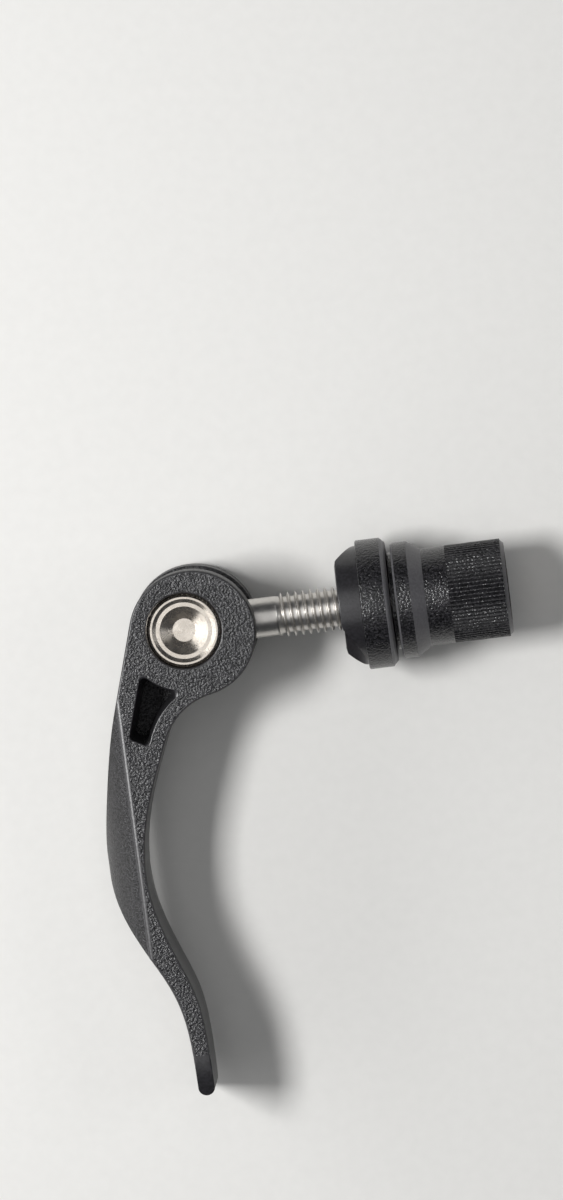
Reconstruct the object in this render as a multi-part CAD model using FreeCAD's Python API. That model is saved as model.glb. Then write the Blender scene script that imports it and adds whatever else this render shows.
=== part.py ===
# Seatpost quick release bolt: a cam lever on a pivot barrel, a threaded stud, a cam washer and a thumb nut.
# Millimetres and degrees. The bolt runs along +X, the lever turns about +Z and its arm reaches towards -Y.
# The origin is where the bolt's axis crosses the pivot's axis. The lever is closed.
import FreeCAD
import Part
import math
import os

V = FreeCAD.Vector
ORIGIN = V(0, 0, 0)
BOLT_AXIS = V(1, 0, 0)
PIVOT_AXIS = V(0, 0, 1)
FLAT = 1e-5

# Clearances, radial unless named otherwise
PIVOT_CLEARANCE = 0.075
CROSS_HOLE_CLEARANCE = 0.02
WASHER_CLEARANCE = 0.2
THREAD_CLEARANCE = 0.05
BUSH_CLEARANCE = 0.05
STUD_SIDE_CLEARANCE = 0.65
TROUGH_CLEARANCE = 0.33

# Stud, an M6 thread rolled on a shank of about its pitch diameter
THREAD_D = 5.96
SHANK_D = 5.3
THREAD_START = 13.2
THREAD_LEAD_IN = 0.6
STUD_END_CHAMFER = 0.7
STUD_TAIL_INSET = 0.2
STUD_INSET = 2.0

# Pivot barrel, with a rim, a shelf and a dish in each end
BARREL_D = 9.85
BARREL_RECESS = 0.3
BARREL_CHAMFER = 0.4
RIM_WIDTH = 0.25
RIM_SLOPE_WIDTH = 0.5
SHELF_DEPTH = 0.35
DISH_D = 6.5
DISH_FLOOR_D = 3.1
DISH_DEPTH = 1.5

# Lever head: an eccentric round cam with two ears
CAM_RADIUS = 8.47
CAM_OFFSET = 1.2
CAM_ANGLE = -27.0
LEVER_WIDTH = 15.8
LEVER_EDGE_BREAK = 0.25

# Lever arm, by stations down from the bolt's axis: the back's distance out from the pivot, and the thickness.
# Its sides round inwards over the last length of the tip.
BACK_LEAN = 17.0
SHOULDER_LENGTH = 12.5
NECK_DROP = 21.6
NECK_OUT = 13.25
NECK_THICKNESS = 6.1
BELLY_LENGTH = 13.4
BELLY_OUT = 13.7
BELLY_THICKNESS = 4.87
WAIST_LENGTH = 10.4
WAIST_OUT = 8.75
WAIST_THICKNESS = 3.15
TOE_LENGTH = 15.8
TOE_OUT = 5.82
TOE_THICKNESS = 2.22
TIP_ROUND_LENGTH = 5.5
TIP_ROUND_RADIUS = 12.0
FINGER_RADIUS = 9.0
FINGER_ANGLE = -80.0
FINGER_LEAN = 23.0

# Crowned back: it rounds over from a straight edge on each side of the lever
SIDE_EDGE_OUT = 9.98
SIDE_EDGE_LEAN = -0.3
CROWN_RISE = 4.4

# Lightening pocket in each side of the neck
BORE_WALL = 3.15
FINGER_WALL = 2.1
BACK_WALL = 2.65
POCKET_REACH = 16.1
POCKET_FOOT_ANGLE = 28.0
POCKET_DEPTH = 6.8
POCKET_DRAFT = 0.5
POCKET_RIM_BREAK = 0.2
POCKET_CORNER = 0.6
POCKET_CORNER_SHARE = 0.4

# Cam washer, lying turned on the stud
WASHER_REST = 20.9
WASHER_TURN = 18.9
LIP_HEIGHT = 2.95
LIP_D = 16.0
DISC_D = 17.4
DISC_THICKNESS = 3.95
DISC_BACK_CHAMFER = 0.7
DISC_EDGE_BREAK = 0.15
LIP_EDGE_BREAK = 0.18

# Thumb nut with a thrust boss and a threaded bush
NUT_GAP = 0.7
BOSS_D = 13.0
BOSS_GAP = 0.15
FLANGE_D = 15.6
FLANGE_THICKNESS = 2.1
FLANGE_CHAMFER = 0.25
CONE_LENGTH = 1.9
NECK_LENGTH = 3.2
NECK_D = 13.1
KNURL_D = 13.3
KNURL_LENGTH = 7.45
KNURL_DEPTH = 0.22
KNURL_GROOVES = 72
NUT_END_CHAMFER = 0.45
BUSH_D = 9.0
BUSH_INSET = 0.5
BUSH_CHAMFER = 0.3

# Sizes that follow from the ones above
SHANK_R = SHANK_D / 2
THREAD_R = THREAD_D / 2
BARREL_R = BARREL_D / 2
BORE_R = BARREL_R + PIVOT_CLEARANCE
HALF_WIDTH = LEVER_WIDTH / 2
BELLY_DROP = NECK_DROP + BELLY_LENGTH
WAIST_DROP = BELLY_DROP + WAIST_LENGTH
TOE_DROP = WAIST_DROP + TOE_LENGTH
TOE_R = TOE_THICKNESS / 2
TIP_DROP = TOE_DROP + TOE_R
REACH = TIP_DROP + CAM_RADIUS + CAM_OFFSET
WASHER_DISC = WASHER_REST + LIP_HEIGHT
WASHER_BACK = WASHER_DISC + DISC_THICKNESS
NUT_FACE = WASHER_BACK + NUT_GAP
NUT_START = WASHER_BACK + BOSS_GAP
NUT_END = NUT_FACE + FLANGE_THICKNESS + CONE_LENGTH + NECK_LENGTH + KNURL_LENGTH + NUT_END_CHAMFER
STUD_END = NUT_END - STUD_INSET
STUD_TAIL = math.sqrt(BARREL_R**2 - SHANK_R**2) - STUD_TAIL_INSET


def direction(degrees):
    """Unit vector in the lever's plane."""
    turn = math.radians(degrees)
    return V(math.cos(turn), math.sin(turn), 0)


def down(lean):
    """Unit vector towards the lever's tip, leaning outwards from straight down."""
    return direction(-90 - lean)


def turned(outline, axis):
    """Solid of revolution of (distance along the axis, radius) points."""
    across = PIVOT_AXIS if axis == BOLT_AXIS else BOLT_AXIS
    points = [axis * along + across * radius for along, radius in outline]
    face = Part.Face(Part.makePolygon(points + points[:1]))
    return face.revolve(ORIGIN, axis, 360)


def rod(radius, start, end):
    """Cylinder on the bolt's axis."""
    return Part.makeCylinder(radius, end - start, BOLT_AXIS * start, BOLT_AXIS)


def edges_at(shape, along):
    """Edges that lie in the plane across the bolt's axis at this distance along it."""
    return [
        edge
        for edge in shape.Edges
        if abs(edge.BoundBox.XMin - along) < FLAT and abs(edge.BoundBox.XMax - along) < FLAT
    ]


CAM_CENTRE = direction(CAM_ANGLE) * CAM_OFFSET
FINGER_CENTRE = CAM_CENTRE + direction(FINGER_ANGLE) * (CAM_RADIUS + FINGER_RADIUS)
BACK_START = CAM_CENTRE + direction(180 - BACK_LEAN) * CAM_RADIUS


def arm_curve(start, lean, insets):
    """Long side of the arm: it leaves start at its lean, passes the stations and ends straight at the tip."""
    stations = [
        (NECK_OUT, NECK_DROP),
        (BELLY_OUT, BELLY_DROP),
        (WAIST_OUT, WAIST_DROP),
        (TOE_OUT, TOE_DROP),
    ]
    points = [start]
    for (out, drop), inset in zip(stations, insets):
        points.append(V(inset - out, -drop, 0))
    curve = Part.BSplineCurve()
    curve.interpolate(Points=points, InitialTangent=down(lean), FinalTangent=down(0))
    return curve.toShape()


def lever_profile():
    """Outline of the lever at its middle: cam, back, tip, and the inner side that the fingers pull."""
    finger_start = FINGER_CENTRE + direction(180 - FINGER_LEAN) * FINGER_RADIUS
    finger_end = CAM_CENTRE + direction(FINGER_ANGLE) * CAM_RADIUS
    finger_middle = FINGER_CENTRE + direction((180 - FINGER_LEAN + FINGER_ANGLE + 180) / 2) * FINGER_RADIUS
    cam_middle = CAM_CENTRE + direction((180 - BACK_LEAN + FINGER_ANGLE) / 2) * CAM_RADIUS
    shoulder = BACK_START + down(BACK_LEAN) * SHOULDER_LENGTH
    tip_back = V(-TOE_OUT, -TOE_DROP, 0)
    tip_front = V(TOE_THICKNESS - TOE_OUT, -TOE_DROP, 0)
    tip_end = V(TOE_R - TOE_OUT, -TIP_DROP, 0)
    edges = [
        Part.Arc(finger_end, cam_middle, BACK_START).toShape(),
        Part.LineSegment(BACK_START, shoulder).toShape(),
        arm_curve(shoulder, BACK_LEAN, [0, 0, 0, 0]),
        Part.Arc(tip_back, tip_end, tip_front).toShape(),
        arm_curve(
            finger_start,
            FINGER_LEAN,
            [NECK_THICKNESS, BELLY_THICKNESS, WAIST_THICKNESS, TOE_THICKNESS],
        ),
        Part.Arc(finger_start, finger_middle, finger_end).toShape(),
    ]
    return Part.Face(Part.Wire(edges))


def crown_waste():
    """What the crowned back leaves away: all that is outside both side edges and the crown's round."""
    crown_radius = (HALF_WIDTH**2 + CROWN_RISE**2) / (2 * CROWN_RISE)
    edge_down = down(SIDE_EDGE_LEAN)
    edge_in = V(-edge_down.y, edge_down.x, 0)
    edge_top = V(-SIDE_EDGE_OUT, 0, 0) - edge_down * REACH
    corners = [
        edge_top,
        edge_top + edge_down * 2 * REACH,
        edge_top + edge_down * 2 * REACH - edge_in * REACH,
        edge_top - edge_in * REACH,
    ]
    slab = Part.Face(Part.makePolygon(corners + corners[:1]))
    slab.translate(PIVOT_AXIS * -LEVER_WIDTH)
    slab = slab.extrude(PIVOT_AXIS * 2 * LEVER_WIDTH)
    axis_start = edge_top + edge_in * (crown_radius - CROWN_RISE)
    return slab.cut(Part.makeCylinder(crown_radius, 2 * REACH, axis_start, edge_down))


def tip_waste():
    """What the rounded tip leaves away, at the lever's upper side."""
    round_start = TIP_ROUND_LENGTH - TIP_DROP
    corner = V(-REACH, -2 * TIP_DROP, HALF_WIDTH - TIP_ROUND_RADIUS)
    block = Part.makeBox(2 * REACH, 2 * TIP_DROP + round_start, 2 * TIP_ROUND_RADIUS, corner)
    axis_start = V(-REACH, round_start, HALF_WIDTH - TIP_ROUND_RADIUS)
    return block.cut(Part.makeCylinder(TIP_ROUND_RADIUS, 2 * REACH, axis_start, BOLT_AXIS))


def pocket_outline(inset, height):
    """Outline of the pocket at a height, with even walls to the pivot bore, the finger curve and the back."""
    side = BACK_START + direction(-BACK_LEAN) * (BACK_WALL + inset)
    foot_down = direction(-90 - POCKET_FOOT_ANGLE)
    to_foot = (POCKET_REACH - inset - side.dot(foot_down)) / down(BACK_LEAN).dot(foot_down)
    heel = side + down(BACK_LEAN) * to_foot
    toe = heel + direction(-POCKET_FOOT_ANGLE) * POCKET_REACH
    block = Part.Face(Part.makePolygon([side, heel, toe, CAM_CENTRE, side]))
    block = block.extrude(PIVOT_AXIS * POCKET_DEPTH)
    block = block.cut(Part.makeCylinder(BORE_R + BORE_WALL + inset, POCKET_DEPTH))
    block = block.cut(Part.makeCylinder(FINGER_RADIUS + FINGER_WALL + inset, POCKET_DEPTH, FINGER_CENTRE))
    block = max(block.Solids, key=lambda solid: solid.Volume)
    corners = [edge for edge in block.Edges if abs(edge.BoundBox.ZLength - POCKET_DEPTH) < FLAT]
    shortest_side = min(edge.Length for edge in block.Edges)
    block = block.makeFillet(min(POCKET_CORNER, POCKET_CORNER_SHARE * shortest_side), corners)
    outline = min(block.Faces, key=lambda face: face.CenterOfMass.z).OuterWire
    outline.translate(PIVOT_AXIS * height)
    return outline


def pocket_tool():
    """Pocket with drafted walls and a broken rim, in the lever's upper side."""
    floor = pocket_outline(POCKET_DRAFT, HALF_WIDTH - POCKET_DEPTH)
    mouth = pocket_outline(0, HALF_WIDTH - POCKET_RIM_BREAK)
    rim = pocket_outline(-POCKET_RIM_BREAK, HALF_WIDTH)
    return Part.makeLoft([floor, mouth, rim], True, True)


def make_lever():
    profile = lever_profile()
    profile.translate(PIVOT_AXIS * -HALF_WIDTH)
    body = profile.extrude(PIVOT_AXIS * LEVER_WIDTH)
    body = body.cut(crown_waste())
    body = body.cut(Part.makeCylinder(BORE_R, LEVER_WIDTH, PIVOT_AXIS * -HALF_WIDTH))
    side_faces = [face for face in body.Faces if abs(face.BoundBox.ZLength) < FLAT]
    body = body.makeChamfer(LEVER_EDGE_BREAK, [edge for face in side_faces for edge in face.Edges])
    for waste in (tip_waste(), pocket_tool()):
        body = body.cut(waste)
        body = body.cut(waste.mirror(ORIGIN, PIVOT_AXIS))
    slot_half = SHANK_R + STUD_SIDE_CLEARANCE
    slot = Part.makeBox(2 * REACH, REACH, 2 * slot_half, V(-REACH, -slot_half, -slot_half))
    return body.cut(slot)


def make_barrel():
    half = HALF_WIDTH - BARREL_RECESS
    rim_inner = BARREL_R - BARREL_CHAMFER - RIM_WIDTH
    outline = [
        (0, 0),
        (0, BARREL_R),
        (half - BARREL_CHAMFER, BARREL_R),
        (half, BARREL_R - BARREL_CHAMFER),
        (half, rim_inner),
        (half - SHELF_DEPTH, rim_inner - RIM_SLOPE_WIDTH),
        (half - SHELF_DEPTH, DISH_D / 2),
        (half - DISH_DEPTH, DISH_FLOOR_D / 2),
        (half - DISH_DEPTH, 0),
    ]
    upper = turned(outline, PIVOT_AXIS)
    barrel = upper.fuse(upper.mirror(ORIGIN, PIVOT_AXIS)).removeSplitter()
    return barrel.cut(rod(SHANK_R + CROSS_HOLE_CLEARANCE, -BARREL_D, BARREL_D))


def make_stud():
    outline = [
        (-STUD_TAIL, 0),
        (-STUD_TAIL, SHANK_R),
        (THREAD_START - THREAD_LEAD_IN, SHANK_R),
        (THREAD_START, THREAD_R),
        (STUD_END - STUD_END_CHAMFER, THREAD_R),
        (STUD_END, THREAD_R - STUD_END_CHAMFER),
        (STUD_END, 0),
    ]
    return turned(outline, BOLT_AXIS)


def make_washer():
    boss = rod(LIP_D / 2, WASHER_REST, WASHER_DISC)
    trough_radius = CAM_RADIUS + TROUGH_CLEARANCE
    turn = direction(-WASHER_TURN)
    trough_along = V(0, turn.x, turn.y)
    trough_start = BOLT_AXIS * (WASHER_DISC - trough_radius) - trough_along * LIP_D
    boss = boss.cut(Part.makeCylinder(trough_radius, 2 * LIP_D, trough_start, trough_along))
    boss = boss.makeChamfer(LIP_EDGE_BREAK, edges_at(boss, WASHER_REST))
    disc = rod(DISC_D / 2, WASHER_DISC, WASHER_BACK)
    disc = disc.makeChamfer(DISC_BACK_CHAMFER, edges_at(disc, WASHER_BACK))
    disc = disc.makeChamfer(DISC_EDGE_BREAK, edges_at(disc, WASHER_DISC))
    washer = disc.fuse(boss).removeSplitter()
    return washer.cut(rod(THREAD_R + WASHER_CLEARANCE, WASHER_REST, WASHER_BACK))


def knurl(start, end):
    """Bar with straight V-shaped ridges all round."""
    crest = KNURL_D / 2
    corner_angle = 360 / (2 * KNURL_GROOVES)
    points = []
    for corner in range(2 * KNURL_GROOVES):
        around = direction(corner * corner_angle)
        radius = crest - KNURL_DEPTH * (corner % 2)
        points.append(V(start, radius * around.x, radius * around.y))
    face = Part.Face(Part.makePolygon(points + points[:1]))
    return face.extrude(BOLT_AXIS * (end - start))


def make_nut():
    flange_end = NUT_FACE + FLANGE_THICKNESS
    cone_end = flange_end + CONE_LENGTH
    knurl_start = cone_end + NECK_LENGTH
    knurl_end = knurl_start + KNURL_LENGTH
    root_r = KNURL_D / 2 - KNURL_DEPTH
    blank = turned(
        [
            (NUT_START, 0),
            (NUT_START, BOSS_D / 2),
            (NUT_FACE, BOSS_D / 2),
            (NUT_FACE, FLANGE_D / 2 - FLANGE_CHAMFER),
            (NUT_FACE + FLANGE_CHAMFER, FLANGE_D / 2),
            (flange_end, FLANGE_D / 2),
            (cone_end, NECK_D / 2),
            (knurl_start, NECK_D / 2),
            (knurl_start, root_r),
            (knurl_end, root_r),
            (NUT_END, root_r - NUT_END_CHAMFER),
            (NUT_END, 0),
        ],
        BOLT_AXIS,
    )
    nut = blank.fuse(knurl(knurl_start, knurl_end)).removeSplitter()
    return nut.cut(rod(BUSH_D / 2 + BUSH_CLEARANCE, NUT_START, NUT_END))


def make_bush():
    start = NUT_START + BUSH_INSET
    end = NUT_END - BUSH_INSET
    bore = THREAD_R + THREAD_CLEARANCE
    outline = [
        (start, bore + BUSH_CHAMFER),
        (start, BUSH_D / 2 - BUSH_CHAMFER),
        (start + BUSH_CHAMFER, BUSH_D / 2),
        (end - BUSH_CHAMFER, BUSH_D / 2),
        (end, BUSH_D / 2 - BUSH_CHAMFER),
        (end, bore + BUSH_CHAMFER),
        (end - BUSH_CHAMFER, bore),
        (start + BUSH_CHAMFER, bore),
    ]
    return turned(outline, BOLT_AXIS)


PIECES = {
    "lever": make_lever,
    "pivot_barrel": make_barrel,
    "stud": make_stud,
    "cam_washer": make_washer,
    "nut_knob": make_nut,
    "nut_insert": make_bush,
}

os.makedirs("parts", exist_ok=True)
for name, make in PIECES.items():
    shape = make()
    print(name, shape.ShapeType, len(shape.Solids), shape.isValid(), round(shape.Volume, 1))
    shape.exportStep("parts/" + name + ".step")
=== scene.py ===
# Looks of the seatpost quick release bolt: finishes, rolled thread, soft moulded edges, studio and camera.
import math

import bmesh
import bpy
from mathutils import Matrix, Vector


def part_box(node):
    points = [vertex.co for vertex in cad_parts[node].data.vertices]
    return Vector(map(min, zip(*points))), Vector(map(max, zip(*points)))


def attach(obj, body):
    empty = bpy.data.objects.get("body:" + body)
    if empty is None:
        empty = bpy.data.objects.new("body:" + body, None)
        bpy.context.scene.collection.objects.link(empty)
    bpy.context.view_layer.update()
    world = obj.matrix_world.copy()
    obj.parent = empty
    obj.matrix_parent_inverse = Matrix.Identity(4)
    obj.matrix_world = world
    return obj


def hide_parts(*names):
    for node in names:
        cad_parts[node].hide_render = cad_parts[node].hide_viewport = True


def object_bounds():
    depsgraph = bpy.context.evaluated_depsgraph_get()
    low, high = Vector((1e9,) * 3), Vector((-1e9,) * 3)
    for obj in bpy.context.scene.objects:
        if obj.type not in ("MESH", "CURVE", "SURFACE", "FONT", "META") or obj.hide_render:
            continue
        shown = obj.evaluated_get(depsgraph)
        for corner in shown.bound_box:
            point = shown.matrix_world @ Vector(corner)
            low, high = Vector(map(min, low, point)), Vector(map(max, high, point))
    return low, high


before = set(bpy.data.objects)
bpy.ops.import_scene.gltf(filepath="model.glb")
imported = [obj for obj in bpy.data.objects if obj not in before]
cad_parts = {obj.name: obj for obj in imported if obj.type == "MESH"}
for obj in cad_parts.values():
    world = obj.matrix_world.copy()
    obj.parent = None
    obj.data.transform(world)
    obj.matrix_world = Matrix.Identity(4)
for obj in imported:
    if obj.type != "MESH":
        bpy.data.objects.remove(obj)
cad_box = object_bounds()

MM = 0.001
BOLT_AXIS = Vector((1, 0, 0))
PIVOT_AXIS = Vector((0, 0, 1))
ORIGIN = Vector((0, 0, 0))

# Photograph: its height in pixels, its scale at the bolt's axis, and where it looks
PHOTO_HEIGHT = 1200
PIXELS_PER_MM = 7.46
CAMERA_DISTANCE = 1500 * MM
CAMERA_TARGET = Vector((13.2, 2.0, 0.0)) * MM
IMAGE_TURN = math.radians(7.2)
CAMERA_LEAN_RIGHT = 0.0252
CAMERA_LEAN_UP = 0.066
SENSOR_MM = 36

# Rolled M6 x 1 thread on the stud
PITCH = 1.0 * MM
SHANK_RADIUS = 2.65 * MM
THREAD_START = 13.2 * MM
THREAD_LEAD_IN = 0.9 * MM
THREAD_DEPTH = 0.56 * MM
CREST_FLAT = 0.14 * MM
CREST_ROUND = 0.03 * MM
FLANK_WIDTH = 0.21 * MM
STUD_END_CHAMFER = 0.7 * MM
TURN_STEPS = 72

# Shading of the mouldings: edges that turn by less than this look soft, and crisper on the knurled nut
SOFT_EDGE = math.radians(58)
CRISP_EDGE = math.radians(25)

# Rounding of the mouldings: outer edges that turn by more than the sharp edge are rounded in the mesh. On the
# knurl, the ones that run along the bolt are its crests
SHARP_EDGE = math.radians(50)
ROUND_STEPS = 3
EDGE_ROUND = 0.1 * MM
KNURL_ROUND = 0.18 * MM
ALONG_BOLT = 0.985
MERGE_DISTANCE = 1e-7
FLAT_ANGLE = math.radians(0.5)

# Material slots of a moulding: its grained faces, its smoother faces, and its rubbed ones, or on the washer
# and nut its faces with a painted sheen
GRAINED, SATIN, RUBBED_OR_PAINTED_SHEEN = range(3)

# Places where the finish changes: bands beside the lever's flat sides and the washer's rim, the lever's
# finger side and tip along Y, and the nut's knurl along X
SIDE_BAND = 0.275 * MM
RIM_BAND = 0.25 * MM
FINGER_SIDE_TOP = -8 * MM
TIP_ROUND_START = -56.8 * MM
KNURL_START = 35.7 * MM

# Shares of a face's normal: a flat side, the edge of the lever's crown, and a face that leans
FLAT_SIDE = 0.985
CROWN_EDGE = 0.86
STEEP = 0.1

# Surface patterns. The mould's grain is about 0.2 mm in life: it is drawn as coarse as it needs to show
GRAIN_SIZE = 0.3 * MM
PIT_HEIGHT = 0.38
RIDGE_HEIGHT = 0.62
TURNING_FEED = 0.11 * MM
BRASS_FEED = 0.094 * MM
PLATE_HAZE = 1.2 * MM
ZINC_STREAKS = 0.5 * MM
MARK_DEPTH = 0.01 * MM
HAZE_LOW = 0.3
HAZE_HIGH = 0.7
PAPER_FIBRE = 1.5 * MM
GLASS_FILLED_NYLON_IOR = 1.58

# Blender's wave texture repeats every tenth of pi at scale 1
WAVE_PERIOD = math.pi / 10

# Sockets of a Mix node that mixes colours
MIX_FACTOR, MIX_FIRST, MIX_SECOND = 0, 6, 7
MIX_RESULT = 2

FLOOR_REACH = 1500 * MM


# Materials

def linear(hex_colour):
    """Linear colour of an sRGB hex value, by the formula of that standard."""
    channels = []
    for start in (1, 3, 5):
        value = int(hex_colour[start:start + 2], 16) / 255
        channels.append(value / 12.92 if value <= 0.04045 else ((value + 0.055) / 1.055) ** 2.4)
    return (*channels, 1)


def add(tree, kind, inputs=None, **settings):
    """A new node with its settings, and with its inputs set or linked."""
    node = tree.nodes.new("ShaderNode" + kind)
    for name, value in settings.items():
        setattr(node, name, value)
    for name, value in (inputs or {}).items():
        if isinstance(value, bpy.types.NodeSocket):
            tree.links.new(value, node.inputs[name])
        else:
            node.inputs[name].default_value = value
    return node


def new_material(name):
    """A material with no nodes yet, and its node tree."""
    material = bpy.data.materials.new(name)
    material.use_nodes = True
    material.node_tree.nodes.clear()
    return material, material.node_tree


def surface(tree, shader):
    """Links a shader to the material's output."""
    output = add(tree, "OutputMaterial")
    tree.links.new(shader.outputs["BSDF"], output.inputs["Surface"])


def black_nylon(name, depth_mm, roughness, pit_shade, ridge_tone):
    """Moulded black glass-filled nylon: spark-eroded grain, with painted shade that darkens its pits against
    the grey of its ridges.
    """
    material, tree = new_material(name)
    place = add(tree, "TexCoord").outputs["Object"]
    pits = add(tree, "TexNoise", {"Vector": place, "Scale": 1 / GRAIN_SIZE, "Detail": 2, "Roughness": 0.5})
    grain = add(tree, "Bump", {"Strength": 1.0, "Distance": depth_mm * MM, "Height": pits.outputs["Fac"]})
    # Painted shade: the pits of the grain are coloured darker than its ridges, where shade would fall
    tone = add(
        tree,
        "MapRange",
        {"Value": pits.outputs["Fac"], "From Min": PIT_HEIGHT, "From Max": RIDGE_HEIGHT},
    )
    colour = add(
        tree,
        "Mix",
        {MIX_FACTOR: tone.outputs["Result"], MIX_FIRST: linear(pit_shade), MIX_SECOND: linear(ridge_tone)},
        data_type="RGBA",
    )
    shader = add(
        tree,
        "BsdfPrincipled",
        {
            "Base Color": colour.outputs[MIX_RESULT],
            "Roughness": roughness,
            "IOR": GLASS_FILLED_NYLON_IOR,
            "Normal": grain.outputs["Normal"],
        },
    )
    surface(tree, shader)
    return material


def bright_nickel():
    """Nickel plate on turned steel: a warm bright metal with faint rings left by the turning tool."""
    material, tree = new_material("bright_nickel_plate")
    place = add(tree, "TexCoord").outputs["Object"]
    rings = add(
        tree,
        "TexWave",
        {
            "Vector": place,
            "Scale": WAVE_PERIOD / TURNING_FEED,
            "Distortion": 1.5,
            "Detail": 2,
            "Detail Scale": 1.0,
        },
        wave_type="RINGS",
        rings_direction="Z",
    )
    marks = add(tree, "Bump", {"Strength": 0.35, "Distance": MARK_DEPTH, "Height": rings.outputs["Fac"]})
    haze = add(tree, "TexNoise", {"Vector": place, "Scale": 1 / PLATE_HAZE, "Detail": 4, "Roughness": 0.6})
    gloss = add(
        tree,
        "MapRange",
        {
            "Value": haze.outputs["Fac"],
            "From Min": HAZE_LOW,
            "From Max": HAZE_HIGH,
            "To Min": 0.2,
            "To Max": 0.34,
        },
    )
    tone = add(
        tree,
        "Mix",
        {MIX_FACTOR: rings.outputs["Fac"], MIX_FIRST: linear("#e6e1da"), MIX_SECOND: linear("#b8ab9b")},
        data_type="RGBA",
    )
    shader = add(
        tree,
        "BsdfPrincipled",
        {
            "Base Color": tone.outputs[MIX_RESULT],
            "Metallic": 1.0,
            "Roughness": gloss.outputs["Result"],
            "Normal": marks.outputs["Normal"],
        },
    )
    surface(tree, shader)
    return material


def bright_zinc():
    """Bright zinc plate on a rolled steel thread: a cool grey metal with soft streaks."""
    material, tree = new_material("bright_zinc_plate")
    place = add(tree, "TexCoord").outputs["Object"]
    haze = add(
        tree,
        "TexNoise",
        {"Vector": place, "Scale": 1 / ZINC_STREAKS, "Detail": 4, "Roughness": 0.65},
    )
    gloss = add(
        tree,
        "MapRange",
        {
            "Value": haze.outputs["Fac"],
            "From Min": HAZE_LOW,
            "From Max": HAZE_HIGH,
            "To Min": 0.3,
            "To Max": 0.4,
        },
    )
    tone = add(
        tree,
        "Mix",
        {MIX_FACTOR: haze.outputs["Fac"], MIX_FIRST: linear("#b9b5b0"), MIX_SECOND: linear("#dcdad6")},
        data_type="RGBA",
    )
    marks = add(tree, "Bump", {"Strength": 0.08, "Distance": MARK_DEPTH, "Height": haze.outputs["Fac"]})
    shader = add(
        tree,
        "BsdfPrincipled",
        {
            "Base Color": tone.outputs[MIX_RESULT],
            "Metallic": 1.0,
            "Roughness": gloss.outputs["Result"],
            "Normal": marks.outputs["Normal"],
        },
    )
    surface(tree, shader)
    return material


def turned_brass():
    """Turned brass: a yellow metal with fine rings round the bolt's axis."""
    material, tree = new_material("turned_brass")
    place = add(tree, "TexCoord").outputs["Object"]
    rings = add(
        tree,
        "TexWave",
        {"Vector": place, "Scale": WAVE_PERIOD / BRASS_FEED, "Distortion": 1.0, "Detail": 2},
        wave_type="BANDS",
        bands_direction="X",
    )
    marks = add(tree, "Bump", {"Strength": 0.15, "Distance": MARK_DEPTH, "Height": rings.outputs["Fac"]})
    shader = add(
        tree,
        "BsdfPrincipled",
        {
            "Base Color": linear("#cda85f"),
            "Metallic": 1.0,
            "Roughness": 0.28,
            "Normal": marks.outputs["Normal"],
        },
    )
    surface(tree, shader)
    return material


def studio_paper():
    """Plain pale studio paper: matt, with a trace of fibre."""
    material, tree = new_material("studio_paper")
    place = add(tree, "TexCoord").outputs["Object"]
    fibre = add(tree, "TexNoise", {"Vector": place, "Scale": 1 / PAPER_FIBRE, "Detail": 3})
    colour = add(
        tree,
        "Mix",
        {MIX_FACTOR: fibre.outputs["Fac"], MIX_FIRST: linear("#dcdbd8"), MIX_SECOND: linear("#e2e1de")},
        data_type="RGBA",
    )
    shader = add(tree, "BsdfPrincipled", {"Base Color": colour.outputs[MIX_RESULT], "Roughness": 0.9})
    surface(tree, shader)
    return material


# Pieces

def new_piece(name, bm, materials, body, node):
    """An object at the origin that shows this mesh, rides on a body and stands for a CAD node."""
    mesh = bpy.data.meshes.new(name)
    bm.to_mesh(mesh)
    bm.free()
    piece = bpy.data.objects.new(name, mesh)
    bpy.context.scene.collection.objects.link(piece)
    for material in materials:
        mesh.materials.append(material)
    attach(piece, body)
    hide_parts(node)
    return piece


def bevel(bm, edges, offset):
    """Rounds edges in a few steps."""
    bmesh.ops.bevel(
        bm,
        geom=edges,
        offset=offset,
        offset_type="OFFSET",
        segments=ROUND_STEPS,
        profile=0.5,
        affect="EDGES",
        material=-1,
        clamp_overlap=True,
    )


def round_edges(bm):
    """Rounds the knurl's crests and other sharp outer edges, but not short edges at the knurl's ends."""
    crests = []
    corners = []
    for edge in bm.edges:
        if not edge.is_convex or edge.calc_face_angle(0) < SHARP_EDGE:
            continue
        if min(vert.co.x for vert in edge.verts) < KNURL_START - EDGE_ROUND:
            corners.append(edge)
        elif abs((edge.verts[1].co - edge.verts[0].co).normalized().x) > ALONG_BOLT:
            crests.append(edge)
    bevel(bm, corners, EDGE_ROUND)
    bevel(bm, [edge for edge in crests if edge.is_valid], KNURL_ROUND)
    # Neighbouring crests meet at the knurl's ends and leave faces with no area
    bmesh.ops.dissolve_degenerate(bm, dist=MERGE_DISTANCE, edges=bm.edges)


def soften(bm, limit):
    """Shades the mesh smooth, apart from edges that turn by more than the limit."""
    for face in bm.faces:
        face.smooth = True
    for edge in bm.edges:
        edge.smooth = edge.calc_face_angle(math.pi) < limit


def lever_finish(face, corner):
    """Grain on the lever's flat sides, satin on edges, tip and finger side, and rubbed grain elsewhere."""
    middle = face.calc_center_median()
    upright = abs(face.normal.z)
    at_side = min(abs(vert.co.z) for vert in face.verts) > corner.z - SIDE_BAND
    at_tip = middle.y < TIP_ROUND_START
    if upright > FLAT_SIDE and not at_tip:
        return GRAINED if at_side else RUBBED_OR_PAINTED_SHEEN
    if at_side or upright > CROWN_EDGE:
        return SATIN
    if face.normal.x > STEEP and middle.y < FINGER_SIDE_TOP:
        return SATIN
    return RUBBED_OR_PAINTED_SHEEN


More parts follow.
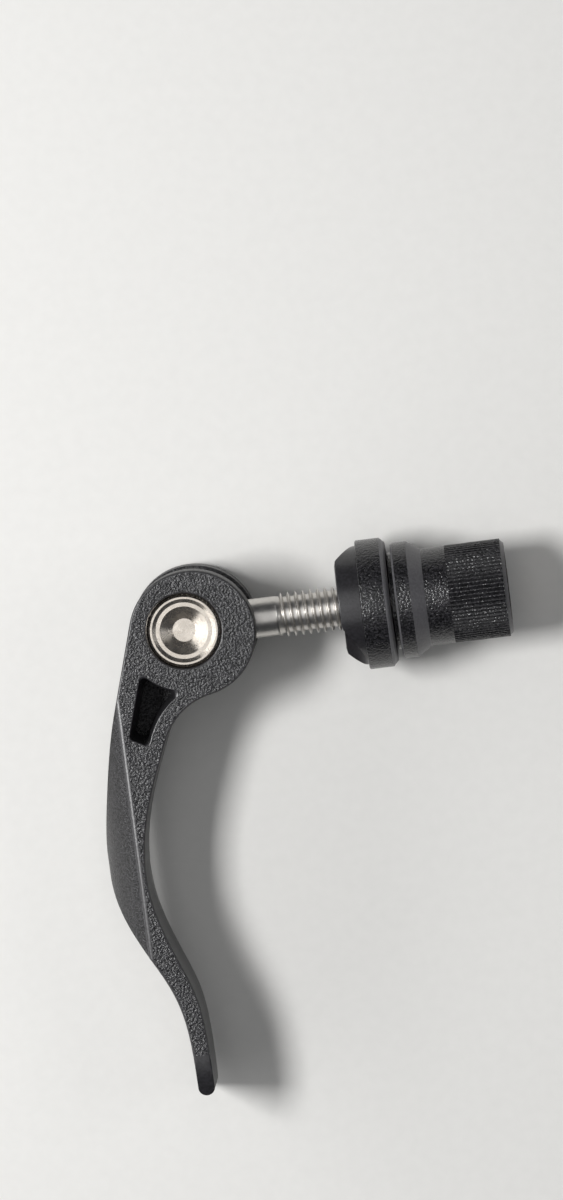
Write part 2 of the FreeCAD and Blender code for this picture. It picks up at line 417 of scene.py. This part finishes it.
def washer_finish(face, corner):
    """Grain on the washer's rim, satin on its lips, and a painted sheen of light grey on its back edge."""
    if min(math.hypot(vert.co.y, vert.co.z) for vert in face.verts) > corner.z - RIM_BAND:
        return GRAINED
    return RUBBED_OR_PAINTED_SHEEN if face.normal.x > STEEP else SATIN


def nut_finish(face, _corner):
    """Grain on the nut's flange and neck, its own finish on the knurl, and a painted sheen of light grey on
    cone, chamfers and ends.
    """
    if abs(face.normal.x) > STEEP:
        return RUBBED_OR_PAINTED_SHEEN
    return SATIN if face.calc_center_median().x > KNURL_START else GRAINED


def moulding(name, node, materials, finish, body, limit):
    """A moulded piece: the node's own shape, with sharp edges rounded and a finish for each face."""
    bm = bmesh.new()
    bm.from_mesh(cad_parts[node].data)
    # The node's stored corner normals would hide the new shading
    for layer in list(bm.loops.layers.float_vector.values()):
        bm.loops.layers.float_vector.remove(layer)
    bmesh.ops.remove_doubles(bm, verts=bm.verts, dist=MERGE_DISTANCE)
    bmesh.ops.dissolve_limit(bm, angle_limit=FLAT_ANGLE, verts=bm.verts, edges=bm.edges)
    round_edges(bm)
    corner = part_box(node)[1]
    for face in bm.faces:
        face.material_index = finish(face, corner)
    soften(bm, limit)
    piece = new_piece(name, bm, materials, body, node)
    normals = piece.modifiers.new("soft_edges", "WEIGHTED_NORMAL")
    normals.keep_sharp = True


def outline(bm, points):
    """Edges along the bolt's axis through (distance along it, radius) points."""
    verts = [bm.verts.new((along, 0, radius)) for along, radius in points]
    edges = [bm.edges.new(pair) for pair in zip(verts, verts[1:])]
    return verts + edges


def threaded_stud(material):
    """The stud: a thread spun up a helix, faded in from a plain shank and chamfered at its end."""
    low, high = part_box("stud")
    crest = high.z
    root = crest - THREAD_DEPTH
    thread_end = high.x
    shank_end = THREAD_START - THREAD_LEAD_IN
    first_turn = shank_end - PITCH
    turns = math.ceil((thread_end - first_turn) / PITCH) + 1
    profile = [
        (0, crest - CREST_ROUND),
        (CREST_ROUND, crest),
        (CREST_FLAT - CREST_ROUND, crest),
        (CREST_FLAT, crest - CREST_ROUND),
        (CREST_FLAT + FLANK_WIDTH, root),
        (PITCH - FLANK_WIDTH, root),
        (PITCH, crest - CREST_ROUND),
    ]
    bm = bmesh.new()
    start = outline(bm, [(first_turn + along, radius) for along, radius in profile])
    bmesh.ops.spin(
        bm,
        geom=start,
        cent=ORIGIN,
        axis=BOLT_AXIS,
        dvec=BOLT_AXIS * (PITCH / TURN_STEPS),
        angle=2 * math.pi * turns,
        steps=TURN_STEPS * turns,
    )
    bmesh.ops.remove_doubles(bm, verts=bm.verts, dist=MERGE_DISTANCE)
    for plane, outwards in ((shank_end, -BOLT_AXIS), (thread_end, BOLT_AXIS)):
        bmesh.ops.bisect_plane(
            bm,
            geom=bm.verts[:] + bm.edges[:] + bm.faces[:],
            plane_co=BOLT_AXIS * plane,
            plane_no=outwards,
            clear_outer=True,
        )
    # Crests and grooves grow out of the shank, and the end is chamfered
    for vert in bm.verts:
        faded = (vert.co.x - shank_end) / THREAD_LEAD_IN
        lead_in = SHANK_RADIUS + faded * (crest - SHANK_RADIUS)
        groove = SHANK_RADIUS - faded * (SHANK_RADIUS - root)
        lead_out = crest - STUD_END_CHAMFER + (thread_end - vert.co.x)
        radius = math.hypot(vert.co.y, vert.co.z)
        limit = min(max(radius, groove), lead_in, lead_out)
        vert.co.y *= limit / radius
        vert.co.z *= limit / radius
    bmesh.ops.remove_doubles(bm, verts=bm.verts, dist=MERGE_DISTANCE)
    # The shank grows from the open end of the thread
    joint = [edge for edge in bm.edges if edge.is_boundary and edge.verts[0].co.x < THREAD_START]
    shank = bmesh.ops.extrude_edge_only(bm, edges=joint)["geom"]
    for element in shank:
        if isinstance(element, bmesh.types.BMVert):
            element.co.x = low.x
    bmesh.ops.holes_fill(bm, edges=[edge for edge in bm.edges if edge.is_boundary], sides=0)
    bmesh.ops.recalc_face_normals(bm, faces=bm.faces)
    soften(bm, SOFT_EDGE)
    for edge in joint:
        edge.smooth = False
    new_piece("threaded_stud", bm, [material], "bolt", "stud")


def finish_node(node, material):
    """Gives a CAD node its finish."""
    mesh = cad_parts[node].data
    mesh.materials.clear()
    mesh.materials.append(material)


# Studio

def studio_floor(height):
    """Pale paper that the bolt lies on."""
    bm = bmesh.new()
    bmesh.ops.create_grid(bm, x_segments=1, y_segments=1, size=FLOOR_REACH)
    bmesh.ops.translate(bm, verts=bm.verts, vec=PIVOT_AXIS * height)
    mesh = bpy.data.meshes.new("studio_floor")
    bm.to_mesh(mesh)
    bm.free()
    floor = bpy.data.objects.new("studio_floor", mesh)
    bpy.context.scene.collection.objects.link(floor)
    mesh.materials.append(studio_paper())


def soft_box(name, place_mm, width_mm, height_mm, power):
    """Rectangular lamp that faces the middle of the bolt."""
    lamp = bpy.data.lights.new(name, "AREA")
    lamp.shape = "RECTANGLE"
    lamp.size = width_mm * MM
    lamp.size_y = height_mm * MM
    lamp.energy = power
    holder = bpy.data.objects.new(name, lamp)
    bpy.context.scene.collection.objects.link(holder)
    holder.location = CAMERA_TARGET + Vector(place_mm) * MM
    holder.rotation_euler = (-Vector(place_mm)).to_track_quat("-Z", "Y").to_euler()


def studio_world(colour, strength):
    """Even room light."""
    world = bpy.data.worlds.new("studio")
    bpy.context.scene.world = world
    world.use_nodes = True
    background = world.node_tree.nodes["Background"]
    background.inputs["Color"].default_value = linear(colour)
    background.inputs["Strength"].default_value = strength


def photo_camera():
    """Camera that looks down on the bolt as the photograph does."""
    right = Vector((math.cos(IMAGE_TURN), -math.sin(IMAGE_TURN), 0))
    up = Vector((math.sin(IMAGE_TURN), math.cos(IMAGE_TURN), 0))
    back = (right * CAMERA_LEAN_RIGHT + up * CAMERA_LEAN_UP + PIVOT_AXIS).normalized()
    across = up.cross(back).normalized()
    upright = back.cross(across)
    data = bpy.data.cameras.new("photo_camera")
    data.sensor_fit = "VERTICAL"
    data.sensor_height = SENSOR_MM
    data.lens = SENSOR_MM * CAMERA_DISTANCE / (PHOTO_HEIGHT / PIXELS_PER_MM * MM)
    camera = bpy.data.objects.new("photo_camera", data)
    bpy.context.scene.collection.objects.link(camera)
    turn = Matrix((across, upright, back)).transposed()
    camera.matrix_world = Matrix.Translation(CAMERA_TARGET + back * CAMERA_DISTANCE) @ turn.to_4x4()
    bpy.context.scene.camera = camera


# Flat sides of the lever, as the mould leaves them: a leathery grain whose grey ridges glint, with painted
# shade in its pits
grained = black_nylon("grained_nylon", depth_mm=0.22, roughness=0.3, pit_shade="#020203", ridge_tone="#2c2b2e")
# Rims and neck, round the bolt's axis: the same grain, with glints along the middle and dark sides
rims = black_nylon("round_grained_nylon", depth_mm=0.13, roughness=0.22, pit_shade="#020203", ridge_tone="#28272a")
# Broken edges, tip and lips, smooth in the mould: an even sheen
satin = black_nylon("satin_nylon", depth_mm=0.01, roughness=0.3, pit_shade="#1d1c1e", ridge_tone="#29282b")
# Knurl: black grooves and small glints along the crests
knurled = black_nylon("knurled_nylon", depth_mm=0.12, roughness=0.22, pit_shade="#0c0c0d", ridge_tone="#222124")
# Cone, chamfers and end faces: a dull even grey, painted sheen in place of the light these faces catch
painted_sheen = black_nylon("painted_sheen_nylon", depth_mm=0.02, roughness=0.42, pit_shade="#525154", ridge_tone="#5c5b5e")
# Back, cam and pockets of the lever: a dull grain with no clear highlight
rubbed = black_nylon("rubbed_nylon", depth_mm=0.4, roughness=0.42, pit_shade="#050506", ridge_tone="#302f32")

moulding(
    "lever_moulding",
    "lever",
    [grained, satin, rubbed],
    lever_finish,
    body="lever",
    limit=SOFT_EDGE,
)
moulding(
    "washer_moulding",
    "cam_washer",
    [rims, satin, painted_sheen],
    washer_finish,
    body="washer",
    limit=SOFT_EDGE,
)
moulding(
    "nut_moulding",
    "nut_knob",
    [rims, knurled, painted_sheen],
    nut_finish,
    body="nut",
    limit=CRISP_EDGE,
)
threaded_stud(bright_zinc())
finish_node("pivot_barrel", bright_nickel())
finish_node("nut_insert", turned_brass())

studio_floor(cad_box[0][2])
studio_world("#c9ced6", strength=0.09)
soft_box("key", place_mm=(-300, 60, 470), width_mm=180, height_mm=110, power=2.8)
soft_box("top", place_mm=(0, 40, 600), width_mm=320, height_mm=680, power=0.64)
soft_box("left", place_mm=(-460, 60, 190), width_mm=1000, height_mm=120, power=1.3)
soft_box("right", place_mm=(390, 0, 340), width_mm=220, height_mm=140, power=0.2)
photo_camera()
bpy.context.scene.view_settings.view_transform = "Standard"
